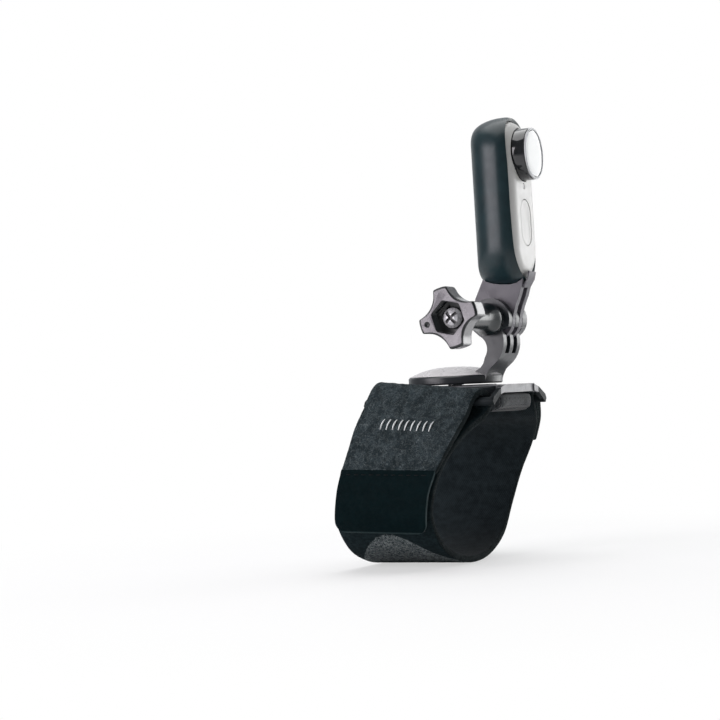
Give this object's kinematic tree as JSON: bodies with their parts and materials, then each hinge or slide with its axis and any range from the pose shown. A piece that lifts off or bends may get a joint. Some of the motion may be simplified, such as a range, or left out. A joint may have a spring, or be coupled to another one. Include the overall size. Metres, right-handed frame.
{
  "type": "hand strap camera mount",
  "caption": "Felt hand strap on a flat plate, with a swivelling J arm and a tilting cradle that holds a small pill-shaped camera.",
  "frame": {"origin": "on the flat middle of the hand pad's underside, directly below the tilt hinge's axis", "axes": "+X towards the fingers and the lens, +Y to the wearer's left, +Z out of the back of the hand"},
  "size_m": [0.0617, 0.0804, 0.1455],
  "materials": {
    "camera_white": "smooth satin",
    "camera_grey": "fine matte",
    "gloss_black": "polished",
    "lens_glass": "coated, polished",
    "circuit_board": "solder mask",
    "bare_steel": "bright",
    "gold_contact": "plated",
    "battery_foil": "foil",
    "light_window": "smoked",
    "soft_black": "soft touch",
    "bracket_grey": "moulded satin",
    "knob_black": "moulded gloss",
    "pad_foam": "closed-cell foam",
    "strap_felt": "brushed loop felt",
    "tab_nylon": "smooth nylon",
    "hook_field": "hook tape"
  },
  "bodies": {
    "base": {"base_plate": "bracket_grey", "hand_pad": "pad_foam", "strap_band": "strap_felt"},
    "turntable": {"turntable_j_arm": "bracket_grey", "captive_nut": "bare_steel", "swivel_rivet": "bare_steel"},
    "washer": {"flange_washer": "bare_steel"},
    "knob": {"thumb_knob": "knob_black", "knob_screw": "bare_steel"},
    "cradle": {"cradle_shell": "soft_black", "cradle_bracket": "bracket_grey", "camera_front_shell": "camera_white", "camera_rear_shell": "camera_grey", "lens_barrel": "gloss_black", "lens_bezel": "camera_grey", "lens_guard": "lens_glass", "lens_front_element": "lens_glass", "lens_rear_element": "lens_glass", "light_window": "light_window", "button_switch": "bare_steel", "image_sensor": "circuit_board", "main_board": "circuit_board", "battery": "battery_foil", "magnet_lower": "bare_steel", "magnet_upper": "bare_steel", "contact_near": "gold_contact", "contact_far": "gold_contact"},
    "button": {"shutter_button": "camera_white"},
    "flap": {"strap_flap": "strap_felt", "hook_tab": "tab_nylon", "hook_field": "hook_field"}
  },
  "joints": [
    {"name": "turntable_swivel", "type": "hinge", "parent": "base", "child": "turntable", "pos_m": [-0.016, 0, 0.008], "axis": [0, 0, 1], "continuous": true},
    {"name": "camera_tilt", "type": "hinge", "parent": "turntable", "child": "cradle", "pos_m": [0, 0, 0.0283], "axis": [0, 1, 0], "range_deg": [-90, 90]},
    {"name": "washer_slide", "type": "slide", "parent": "turntable", "child": "washer", "axis": [0, -1, 0], "range_m": [0, 0.0022]},
    {"name": "knob_turn", "type": "hinge", "parent": "washer", "child": "knob", "pos_m": [0, 0, 0.0283], "axis": [0, -1, 0], "range_deg": [0, 720]},
    {"name": "shutter_press", "type": "slide", "parent": "cradle", "child": "button", "axis": [-0.9998, 0, -0.0175], "range_m": [0, 0.00035]},
    {"name": "flap_peel", "type": "hinge", "parent": "base", "child": "flap", "pos_m": [-0.0176, -0.0279, 0.0033], "axis": [-0.995, 0, 0.0995], "range_deg": [0, 70]}
  ],
  "couplings": [
    {"joint": "washer_slide", "follows": "knob_turn", "m_per_rad": 0.00012732}
  ]
}
